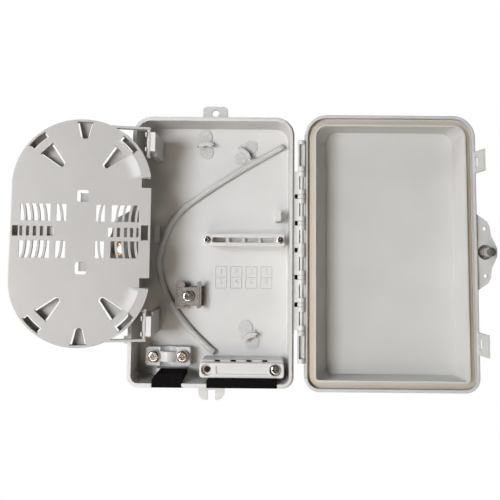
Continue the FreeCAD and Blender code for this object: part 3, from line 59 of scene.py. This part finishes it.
def make_camera():
    """The photograph's view: nearly square on, a little from below the box's middle."""
    data = bpy.data.cameras.new("camera")
    data.sensor_width = 36.0
    data.lens = 47.62
    data.shift_x = -0.0247
    data.shift_y = -0.1149
    data.clip_end = 20.0
    yaw, pitch, roll = (math.radians(value) for value in CAMERA_TURN)
    ahead = Vector((math.sin(yaw) * math.cos(pitch), math.cos(yaw) * math.cos(pitch), math.sin(pitch)))
    level = Vector((math.cos(yaw), -math.sin(yaw), 0.0))
    above = level.cross(ahead)
    right = math.cos(roll) * level + math.sin(roll) * above
    up = right.cross(ahead)
    camera = bpy.data.objects.new("camera", data)
    bpy.context.scene.collection.objects.link(camera)
    turn = Matrix((right, up, -ahead)).transposed().to_4x4()
    camera.matrix_world = Matrix.Translation(CAMERA_PLACE) @ turn
    bpy.context.scene.camera = camera


LIGHT_TARGET = Vector((0.03, 0.0, 0.0))
LIGHT_DISTANCE = 1.4
LIGHTS = [  # name, azimuth, elevation, size, power, colour
    ("key", -31.0, 0.0, 0.6, 18.0, (0.965, 1.0, 1.07)),
    ("high_left", -60.0, 48.0, 0.5, 6.6, (1.0, 1.0, 0.97)),
    ("low_left", -60.0, -25.0, 0.5, 1.6, (0.95, 1.0, 0.8)),
    ("low_front", -12.0, -25.0, 0.5, 4.6, (1.0, 0.83, 0.66)),
]


def area_light(name, azimuth, elevation, size, power, colour):
    """A round soft lamp turned towards the box; azimuth 0 is straight in front."""
    data = bpy.data.lights.new(name, "AREA")
    data.shape = "DISK"
    data.size = size
    data.energy = power
    data.color = colour
    light = bpy.data.objects.new(name, data)
    light.visible_camera = False
    bpy.context.scene.collection.objects.link(light)
    side, rise = math.radians(azimuth), math.radians(elevation)
    away = Vector((math.sin(side) * math.cos(rise), -math.cos(side) * math.cos(rise), math.sin(rise)))
    place = LIGHT_TARGET + away * LIGHT_DISTANCE
    light.location = place
    light.rotation_euler = (LIGHT_TARGET - place).to_track_quat("-Z", "Y").to_euler()


AMBIENT = [  # axis and sign of each side of the room, and the colour of the light from there
    ("Z", 1.0, (0.04, 0.04, 0.04)),     # above
    ("Y", 1.0, (0.25, 0.25, 0.25)),     # behind
    ("Z", -1.0, (0.95, 0.66, 0.50)),    # below
    ("X", -1.0, (0.20, 0.22, 0.22)),    # left
    ("X", 1.0, (0.12, 0.095, 0.06)),    # right
]


def make_world():
    """A white room to the camera; to the object, dim light that differs from side to side."""
    world = bpy.data.worlds.new("world")
    bpy.context.scene.world = world
    world.use_nodes = True
    tree = world.node_tree
    add, link = tree.nodes.new, tree.links.new
    split = add("ShaderNodeSeparateXYZ")
    link(add("ShaderNodeTexCoord").outputs["Generated"], split.inputs["Vector"])
    total = None
    for axis, sign, colour in AMBIENT:
        part = add("ShaderNodeMath")
        part.operation = "MULTIPLY"
        part.use_clamp = True
        part.inputs[1].default_value = sign
        link(split.outputs[axis], part.inputs[0])
        paint = add("ShaderNodeVectorMath")
        paint.operation = "SCALE"
        paint.inputs[0].default_value = colour
        link(part.outputs["Value"], paint.inputs["Scale"])
        if total is None:
            total = paint.outputs["Vector"]
            continue
        joined = add("ShaderNodeVectorMath")
        link(total, joined.inputs[0])
        link(paint.outputs["Vector"], joined.inputs[1])
        total = joined.outputs["Vector"]
    room, sheet, mix = tree.nodes["Background"], add("ShaderNodeBackground"), add("ShaderNodeMixShader")
    link(total, room.inputs["Color"])
    link(add("ShaderNodeLightPath").outputs["Is Camera Ray"], mix.inputs["Fac"])
    link(room.outputs["Background"], mix.inputs[1])
    link(sheet.outputs["Background"], mix.inputs[2])
    sheet.inputs["Color"].default_value = (1.0, 1.0, 1.0, 1.0)
    link(mix.outputs["Shader"], tree.nodes["World Output"].inputs["Surface"])


def make_light():
    """The room's dim light, the lamps and the plain view transform."""
    make_world()
    for lamp in LIGHTS:
        area_light(*lamp)
    bpy.context.scene.view_settings.view_transform = "Standard"


STAGE_LEVEL, STAGE_HALF = -0.62, 3.0


def make_stage():
    """A wide plain floor, well below the box, as white to the camera as the room is."""
    material = bpy.data.materials.new("stage_white")
    material.use_nodes = True
    tree = material.node_tree
    paint = tree.nodes["Principled BSDF"]
    paint.inputs["Base Color"].default_value = (0.8, 0.79, 0.77, 1.0)
    paint.inputs["Roughness"].default_value = 0.9
    glow, mix = tree.nodes.new("ShaderNodeEmission"), tree.nodes.new("ShaderNodeMixShader")
    tree.links.new(tree.nodes.new("ShaderNodeLightPath").outputs["Is Camera Ray"], mix.inputs["Fac"])
    tree.links.new(paint.outputs["BSDF"], mix.inputs[1])
    tree.links.new(glow.outputs["Emission"], mix.inputs[2])
    tree.links.new(mix.outputs["Shader"], tree.nodes["Material Output"].inputs["Surface"])
    corners = [(x * STAGE_HALF, y * STAGE_HALF, STAGE_LEVEL)
               for x, y in ((-1, -1), (1, -1), (1, 1), (-1, 1))]
    mesh = bpy.data.meshes.new("stage")
    mesh.from_pydata(corners, [], [(0, 1, 2, 3)])
    stage = bpy.data.objects.new("stage", mesh)
    stage.data.materials.append(material)
    bpy.context.scene.collection.objects.link(stage)


# ---------------------------------------------------------------- materials

class Shade:
    """A small helper round one Principled material's nodes."""

    def __init__(self, name, **values):
        self.material = bpy.data.materials.new(name)
        self.material.use_nodes = True
        self.tree = self.material.node_tree
        self.shader = self.tree.nodes["Principled BSDF"]
        self.coords = self.add("ShaderNodeTexCoord").outputs["Object"]
        for key, value in values.items():
            self.shader.inputs[key.replace("_", " ")].default_value = value

    def add(self, kind, **values):
        node = self.tree.nodes.new(kind)
        for key, value in values.items():
            setattr(node, key, value)
        return node

    def link(self, source, target):
        self.tree.links.new(source, target)

    def noise(self, scale, detail=3.0, rough=0.5):
        node = self.add("ShaderNodeTexNoise")
        node.inputs["Scale"].default_value = scale
        node.inputs["Detail"].default_value = detail
        node.inputs["Roughness"].default_value = rough
        self.link(self.coords, node.inputs["Vector"])
        return node.outputs["Fac"]

    def cells(self, scale):
        """Distance from the nearest cell's middle, for pits and grains."""
        node = self.add("ShaderNodeTexVoronoi")
        node.inputs["Scale"].default_value = scale
        self.link(self.coords, node.inputs["Vector"])
        return node.outputs["Distance"]

    def ramp(self, source, stops):
        """Colours at places from 0 to 1 of the source."""
        node = self.add("ShaderNodeValToRGB")
        for mark, (place, colour) in zip(node.color_ramp.elements, stops):
            mark.position = place
            mark.color = (*colour, 1.0)
        self.link(source, node.inputs["Fac"])
        return node.outputs["Color"]

    def spread(self, source, low, high):
        """The middle of a noise's range, spread from low to high."""
        return self.map_range(source, 0.3, 0.7, low, high)

    def map_range(self, source, start, end, low=0.0, high=1.0):
        node = self.add("ShaderNodeMapRange")
        for socket, value in (("From Min", start), ("From Max", end), ("To Min", low), ("To Max", high)):
            node.inputs[socket].default_value = value
        self.link(source, node.inputs["Value"])
        return node.outputs["Result"]

    def bump(self, source, height, strength, before=None):
        """Bump of a height in metres, over the normal that comes before it."""
        node = self.add("ShaderNodeBump")
        node.inputs["Distance"].default_value = height
        node.inputs["Strength"].default_value = strength
        self.link(source, node.inputs["Height"])
        if before is not None:
            self.link(before, node.inputs["Normal"])
        return node.outputs["Normal"]

    def edge(self, radius_mm):
        node = self.add("ShaderNodeBevel", samples=4)
        node.inputs["Radius"].default_value = radius_mm * MM
        return node.outputs["Normal"]

    def finish(self, colour, rough, normal):
        for source, socket in ((colour, "Base Color"), (rough, "Roughness"), (normal, "Normal")):
            if source is not None:
                self.link(source, self.shader.inputs[socket])
        return self.material


def tint(colour, gain):
    return tuple(channel * gain for channel in colour)


def plastic(name, colour, rough=0.42, grain=1.0, edge=0.35):
    """Moulded plastic: faint clouding, a fine satin grain and slightly rounded edges."""
    shade = Shade(name, Specular_IOR_Level=0.42)
    clouds = shade.noise(28.0, detail=4.0)
    base = shade.ramp(clouds, [(0.3, tint(colour, 0.965)), (0.7, tint(colour, 1.025))])
    shine = shade.spread(shade.noise(160.0), rough - 0.05, rough + 0.06)
    normal = shade.bump(shade.noise(2600.0, detail=2.0), 0.00002 * grain, 0.6, shade.edge(edge))
    return shade.finish(base, shine, normal)


def metal(name, dark, light, rough, scale):
    """Turned or plated metal with small streaks at the given scale."""
    shade = Shade(name, Metallic=1.0)
    base = shade.ramp(shade.noise(scale, detail=5.0, rough=0.6), [(0.35, dark), (0.65, light)])
    shine = shade.spread(shade.noise(scale * 2.3, detail=4.0), rough * 0.8, rough * 1.3)
    normal = shade.bump(shade.noise(scale * 4.0), 0.00002, 0.7, shade.edge(0.12))
    return shade.finish(base, shine, normal)


def foam(name):
    """Black closed-cell foam: small pits with a soft, dull skin."""
    shade = Shade(name, Roughness=0.9, Specular_IOR_Level=0.06)
    pits = shade.cells(1400.0)
    base = shade.ramp(pits, [(0.1, (0.001, 0.001, 0.001)), (0.6, (0.006, 0.005, 0.005))])
    normal = shade.bump(pits, 0.0002, 0.8)
    normal = shade.bump(shade.noise(240.0, detail=4.0), 0.0006, 0.5, normal)
    return shade.finish(base, None, normal)


def milky(name, colour, through, rough):
    """Soft clear plastic gone milky: it lets some light through and has bright, glossy edges."""
    shade = Shade(name, Transmission_Weight=through, IOR=1.30, Specular_IOR_Level=0.55)
    base = shade.ramp(shade.noise(120.0), [(0.3, tint(colour, 0.96)), (0.7, tint(colour, 1.02))])
    shine = shade.spread(shade.noise(400.0), rough * 0.8, rough * 1.3)
    normal = shade.bump(shade.noise(700.0, detail=2.0), 0.00003, 0.5)
    return shade.finish(base, shine, normal)


def sheet_zinc(name):
    """Zinc-plated sheet, dull and speckled with small dark grains."""
    shade = Shade(name, Metallic=0.75, Specular_IOR_Level=0.4)
    grains = shade.cells(1500.0)
    speckle = shade.ramp(grains, [(0.15, (0.055, 0.046, 0.038)), (0.75, (0.26, 0.235, 0.21))])
    shine = shade.spread(shade.noise(1100.0, detail=4.0), 0.42, 0.62)
    normal = shade.bump(grains, 0.00012, 0.7, shade.edge(0.15))
    return shade.finish(speckle, shine, normal)


HEAD_PAINT = (0.36, 0.35, 0.32, 1.0)
# the tip's dark colour is painted shade on the bolt's end face
TIP_SHADE_PAINT = (0.10, 0.095, 0.085, 1.0)


def lock_metal(name, head_end, tip_start):
    """The lock's bolt: a pale head, a bright turned shank and a tip coloured dark as painted shade on its end
    face, told apart along Y.
    """
    shade = Shade(name, Specular_IOR_Level=0.5)
    split = shade.add("ShaderNodeSeparateXYZ")
    shade.link(shade.coords, split.inputs["Vector"])
    head, shank = (shade.map_range(split.outputs["Y"], place - blur, place + blur)
                   for place, blur in ((head_end, 0.0002), (tip_start, 0.0004)))
    turned = shade.ramp(shade.noise(900.0, detail=4.0),
                        [(0.35, (0.55, 0.51, 0.47)), (0.65, (0.80, 0.76, 0.72))])
    lower = shade.add("ShaderNodeMix", data_type="RGBA")
    # painted shade: the bolt beyond tip_start is coloured dark
    lower.inputs["A"].default_value = TIP_SHADE_PAINT
    shade.link(shank, lower.inputs["Factor"])
    shade.link(turned, lower.inputs["B"])
    whole = shade.add("ShaderNodeMix", data_type="RGBA")
    whole.inputs["B"].default_value = HEAD_PAINT
    shade.link(head, whole.inputs["Factor"])
    shade.link(lower.outputs["Result"], whole.inputs["A"])
    bare = shade.add("ShaderNodeMath", operation="SUBTRACT", use_clamp=True)
    shade.link(shank, bare.inputs[0])
    shade.link(head, bare.inputs[1])
    gleam = shade.add("ShaderNodeMath", operation="MULTIPLY")
    gleam.inputs[1].default_value = 0.55
    shade.link(bare.outputs["Value"], gleam.inputs[0])
    shade.link(gleam.outputs["Value"], shade.shader.inputs["Metallic"])
    shine = shade.spread(shade.noise(700.0), 0.22, 0.34)
    normal = shade.bump(shade.noise(1500.0, detail=2.0), 0.00002, 0.6, shade.edge(0.15))
    return shade.finish(whole.outputs["Result"], shine, normal)


MATERIALS = {  # by the record's material slot
    "shell": plastic("shell_plastic", (0.560, 0.548, 0.526)),
    "cover": plastic("cover_plastic", (0.520, 0.510, 0.486)),
    "tray": plastic("tray_plastic", (0.455, 0.440, 0.422), rough=0.46),
    "fitting": plastic("fitting_plastic", (0.57, 0.555, 0.538), rough=0.38),
    "gasket": plastic("gasket_foam", (0.500, 0.435, 0.335), rough=0.75, grain=6.0, edge=0.5),
    "nickel": metal("bright_nickel", (0.50, 0.47, 0.45), (0.70, 0.67, 0.64), 0.14, 420.0),
    "brass": metal("turned_brass", (0.55, 0.33, 0.12), (0.80, 0.55, 0.25), 0.24, 500.0),
    "zinc": sheet_zinc("zinc_sheet"),
    "foam": foam("black_foam"),
    "tube": milky("clear_tube", (0.76, 0.75, 0.73), 0.42, 0.14),
    "clip": milky("milky_clip", (0.64, 0.63, 0.61), 0.22, 0.24),
    "bolt": lock_metal("lock_metal", -0.0235, -0.0475),
}

PAINTED = {  # nodes whose finish differs from their slot's
    "cover_hinge_pin": plastic("pale_pin", (0.62, 0.61, 0.59), rough=0.3, edge=0.1),
    "lock_retaining_ring": plastic("pale_ring", (0.50, 0.49, 0.46), rough=0.4, edge=0.1),
}


# ---------------------------------------------------------------- helpers for pieces

def smooth(mesh, sharp_angle):
    """Smooth shading that breaks at edges sharper than an angle in degrees."""
    mesh.polygons.foreach_set("use_smooth", [True] * len(mesh.polygons))
    mesh.set_sharp_from_angle(angle=math.radians(sharp_angle))


def new_piece(name, data, slot, body):
    """A mesh, curve or text as a piece that rides on a body."""
    piece = bpy.data.objects.new(name, data)
    bpy.context.scene.collection.objects.link(piece)
    piece.data.materials.append(MATERIALS[slot])
    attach(piece, body)
    return piece


def mesh_piece(name, mesh, slot, body, sharp_angle=None):
    """A finished bmesh as a piece; it is flat shaded where no sharp angle is given."""
    data = bpy.data.meshes.new(name)
    mesh.to_mesh(data)
    mesh.free()
    if sharp_angle is not None:
        smooth(data, sharp_angle)
    return new_piece(name, data, slot, body)


def loft(mesh, rings):
    """Adds one closed solid through rings of points."""
    rings = [[mesh.verts.new(point) for point in ring] for ring in rings]
    for before, after in zip(rings, rings[1:]):
        for index, vert in enumerate(before):
            follow = (index + 1) % len(before)
            mesh.faces.new((vert, before[follow], after[follow], after[index]))
    mesh.faces.new(rings[0])
    mesh.faces.new(rings[-1])


def dress_cad():
    """Gives every CAD node its material, and smooth shading that breaks at real edges."""
    for row in frame["record"]["subparts"]:
        mesh = NODES[row["node"]].data
        mesh.materials.clear()
        mesh.materials.append(PAINTED.get(row["node"]) or MATERIALS[row["material_slot"]])
        smooth(mesh, 28)


# ---------------------------------------------------------------- the loose tube

TUBE_ROUTE = [(60.5, 93.0), (31.0, 76.6), (-7.0, 52.6), (-36.0, 31.0), (-46.5, 5.0), (-50.3, -13.0),
              (-43.5, -36.0), (-28.0, -61.0), (-9.5, -80.0), (1.0, -88.6)]
TUBE_LEVEL = -5.1
TUBE_RADIUS = 2.6


def make_tube():
    """The empty clear tube on the base's floor, from the upper right to the drop clamp."""
    curve = bpy.data.curves.new("loose_tube_line", "CURVE")
    curve.dimensions = "3D"
    line = curve.splines.new("NURBS")
    line.points.add(len(TUBE_ROUTE) - 1)
    for point, (x, z) in zip(line.points, TUBE_ROUTE):
        point.co = (x * MM, TUBE_LEVEL * MM, z * MM, 1.0)
        point.radius = TUBE_RADIUS * MM
    line.order_u = 3
    line.use_endpoint_u = True
    line.resolution_u = 12
    curve.bevel_depth = 1.0  # times each point's radius
    curve.bevel_resolution = 6
    curve.use_fill_caps = False
    tube = new_piece("clear_loose_tube", curve, "tube", "base")
    wall = tube.modifiers.new("wall", "SOLIDIFY")
    wall.thickness = 0.85 * MM
    wall.offset = -1.0
    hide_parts("loose_tube")


# ---------------------------------------------------------------- raised detail on the tray

TRAY_HINGE = next(joint for joint in frame["joints"] if joint["name"] == "tray_hinge")
TRAY_FRAME = (Matrix.Translation((TRAY_HINGE["pos_m"][0], TRAY_HINGE["pos_m"][1], 0.0))
              @ Matrix.Rotation(math.radians(180.0 - TRAY_HINGE["range_deg"][1]), 4, "Z"))
TRAY_MIDDLE = TRAY_HINGE["pos_m"][2] / MM
ARC_X = -51.7          # the round ends' centres, from the hinge line
ARC_Z = 37.2           # and from the tray's middle
PLATE_RISE = 2.6
BAND_RISE = 5.7
BAND_HEIGHT = BAND_RISE - PLATE_RISE
RAMP_INNER, RAMP_WIDTH, RAMP_STEPS = 36.5, 10.6, 10


def tray_point(x, rise, z):
    """A place on the tray in millimetres: x and rise from its hinge line, z from the CAD's zero."""
    return TRAY_FRAME @ Vector((x * MM, -rise * MM, z * MM))


def arc_sweep(name, way, low, high, section, steps=28):
    """A closed solid on the tray's round end: section(part) gives (radius, rise) points, part 0 to 1."""
    centre = TRAY_MIDDLE + ARC_Z * way
    rings = []
    for step in range(steps + 1):
        part = step / steps
        angle = math.radians(low + (high - low) * part)
        rings.append([tray_point(ARC_X + radius * math.cos(angle), rise,
                                 centre + radius * math.sin(angle) * way)
                      for radius, rise in section(part)])
    mesh = bmesh.new()
    loft(mesh, rings)
    bmesh.ops.recalc_face_normals(mesh, faces=mesh.faces)
    return mesh_piece(name, mesh, "tray", "tray", 35)


def ease(value):
    value = min(max(value, 0.0), 1.0)
    return value * value * (3 - 2 * value)


def ramp_section(part):
    """A hollow slope from the plate up to the raised band, dying away at its lower end."""
    height = (BAND_HEIGHT + 0.05) * ease(part / 0.2 + 0.25)
    slope = [(RAMP_INNER + RAMP_WIDTH * step / RAMP_STEPS,
              PLATE_RISE + 0.02 + height * (step / RAMP_STEPS) ** 2) for step in range(RAMP_STEPS + 1)]
    root = PLATE_RISE - 0.5
    return [(RAMP_INNER, root)] + slope + [(RAMP_INNER + RAMP_WIDTH, root)]


def rib_section(inner, outer, taper):
    """A rib between two radii that falls from the band's height to the plate's over its last part."""
    def section(part):
        top = PLATE_RISE - 0.1 + (BAND_HEIGHT + 0.1) * ease((1 - part) / taper)
        root = PLATE_RISE - 0.8
        return [(inner, root), (inner, top), (outer, top), (outer, root)]
    return section


def make_tray_detail():
    """The ramps up to the raised bands, and the thin ribs beside them."""
    for end, way in (("upper", 1), ("lower", -1)):
        arc_sweep("tray_ramp_" + end, way, 9.0, 35.5, ramp_section)
        arc_sweep("tray_inner_rib_" + end, way, 34.5, 56.0, rib_section(46.4, 47.4, 0.35))
        arc_sweep("tray_outer_rib_" + end, way, 34.5, 63.0, rib_section(53.5, 54.5, 0.45))


FIN_PLACES = (-43.4, -38.3, -33.1, -28.0, -15.6, 13.4, 27.0, 32.3, 37.5, 42.7)  # from ARC_X
FIN_STRAIGHT, FIN_BOW, FIN_TURN = 8.0, 50.0, 15.0  # straight half, bow's radius and angle in degrees
LIP_SIDES, LIP_RISES = (0.1, 0.9), (-4.2, -1.2)
SHELF_FIRST, SHELF_PITCH, SHELF_COUNT = -48.4, 3.7, 7
SHELF_MIDDLE, SHELF_HALF, SHELF_RISES = 0.3, 4.6, (-1.5, -0.6)
SHELF_OVERLAP = 0.02


def bowed_line(offset, steps=8):
    """The line of one fin in the tray's plane: straight in the middle, bowed outwards at both ends."""
    outward = math.copysign(1, offset)
    upper = []
    for step in range(steps + 1):
        angle = math.radians(FIN_TURN * step / steps)
        upper.append((ARC_X + offset + outward * FIN_BOW * (1 - math.cos(angle)),
                      FIN_STRAIGHT + FIN_BOW * math.sin(angle)))
    return [(x, TRAY_MIDDLE - z) for x, z in reversed(upper)] + [(x, TRAY_MIDDLE + z) for x, z in upper]


def strips(name, lines, sides, rises):
    """Closed strips that follow lines in the tray's plane, between two sides and two rises."""
    (near, far), (low, high) = sides, rises
    mesh = bmesh.new()
    for line in lines:
        loft(mesh, [[tray_point(x + side, rise, z)
                     for side, rise in ((near, low), (far, low), (far, high), (near, high))]
                    for x, z in line])
    bmesh.ops.recalc_face_normals(mesh, faces=mesh.faces)
    return mesh_piece(name, mesh, "tray", "tray")


def make_tray_fins():
    """The fins' deeper right-hand lips, and the shelf under the short slots on the free side."""
    strips("tray_fin_lips", [bowed_line(offset) for offset in FIN_PLACES], LIP_SIDES, LIP_RISES)
    middle = TRAY_MIDDLE + SHELF_MIDDLE
    places = [ARC_X + SHELF_FIRST + SHELF_PITCH * step for step in range(SHELF_COUNT)]
    strips("tray_slot_shelf", [[(x, middle - SHELF_HALF), (x, middle + SHELF_HALF)] for x in places],
           (0.0, SHELF_PITCH + SHELF_OVERLAP), SHELF_RISES)


# ---------------------------------------------------------------- port numbers

CELL_LEFT, CELL_PITCH, CELL_WIDTH, CELL_HEIGHT, CELL_TOP = 0.6, 13.3, 10.2, 9.0, -14.1
CELL_COLUMNS = 4
FLOOR_RISE = 2.5
NUMBER_SIZE, NUMBER_EXTRUDE, NUMBER_WEIGHT, NUMBER_LIFT = 6.2, 0.2, 0.08, 0.12


def make_numbers():
    """Raised port numbers in the cells, odd above and even below."""
    for number in range(1, CELL_COLUMNS * 2 + 1):
        column, row = (number - 1) // 2, (number - 1) % 2
        text = bpy.data.curves.new("port_number_%d" % number, "FONT")
        text.body = str(number)
        text.size = NUMBER_SIZE * MM
        text.extrude = NUMBER_EXTRUDE * MM
        text.offset = NUMBER_WEIGHT * MM
        text.align_x, text.align_y = "CENTER", "CENTER"
        piece = new_piece("port_number_%d" % number, text, "shell", "base")
        piece.rotation_euler = (math.radians(90), 0, 0)
        piece.location = ((CELL_LEFT + CELL_PITCH * column + CELL_WIDTH / 2) * MM,
                          -(FLOOR_RISE + NUMBER_LIFT) * MM,
                          (CELL_TOP - CELL_HEIGHT * (row + 0.5)) * MM)


# ---------------------------------------------------------------- painted shade: dark pads behind openings

HINGE_MIDDLE, HINGE_PITCH, FINGER_SLOT = 0.4, 22.6, 3.8
# the pads and plugs below are black blocks that stand in for the shade seen in the openings
SHADE_PAD_LEFT, SHADE_PAD_RIGHT, SHADE_PAD_FRONT, SHADE_PAD_BACK = 69.0, 72.6, -31.6, -30.6
SHADE_PAD_OVERLAP = 0.4
PORT_FIRST, PORT_PITCH, PORT_COUNT, PORT_HALF = 5.3, 13.3, 4, 1.9
SHADE_PLUG_FRONT, SHADE_PLUG_BACK, SHADE_PLUG_LOW, SHADE_PLUG_HIGH = 0.05, 2.0, 3.0, 0.3  # from the clamp base's front and top


def blocks(name, corners, slot, body, round_off=0.25):
    """Small blocks with rounded edges, as one piece; corners are (low, high) pairs in millimetres."""
    mesh = bmesh.new()
    for low, high in corners:
        for vert in bmesh.ops.create_cube(mesh, size=1.0)["verts"]:
            vert.co = [(a + (b - a) * (share + 0.5)) * MM for a, b, share in zip(low, high, vert.co)]
    bmesh.ops.bevel(mesh, geom=mesh.edges[:], offset=round_off * MM, segments=2, affect="EDGES")
    return mesh_piece(name, mesh, slot, body)


def make_dark_pads():
    """Black blocks behind the hinge's five slots and inside the drop ports, as painted shade in those openings."""
    half = FINGER_SLOT / 2 + SHADE_PAD_OVERLAP
    slots = [HINGE_MIDDLE + HINGE_PITCH * step for step in range(-2, 3)]
    # painted shade: black pads behind the hinge's slots
    blocks("hinge_slot_shade_pads",
           [((SHADE_PAD_LEFT, SHADE_PAD_FRONT, z - half), (SHADE_PAD_RIGHT, SHADE_PAD_BACK, z + half)) for z in slots],
           "foam", "base")
    low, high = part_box("drop_clamp_base")
    front, top = low[1] / MM, high[2] / MM
    ports = [PORT_FIRST + PORT_PITCH * step for step in range(PORT_COUNT)]
    # painted shade: black plugs inside the drop ports
    blocks("drop_port_shade_plugs",
           [((x - PORT_HALF, front + SHADE_PLUG_FRONT, top - SHADE_PLUG_LOW),
             (x + PORT_HALF, front + SHADE_PLUG_BACK, top - SHADE_PLUG_HIGH)) for x in ports],
           "foam", "base")


make_camera()
make_light()
make_stage()
make_tube()
make_tray_detail()
make_tray_fins()
make_numbers()
make_dark_pads()
dress_cad()
bpy.context.view_layer.update()
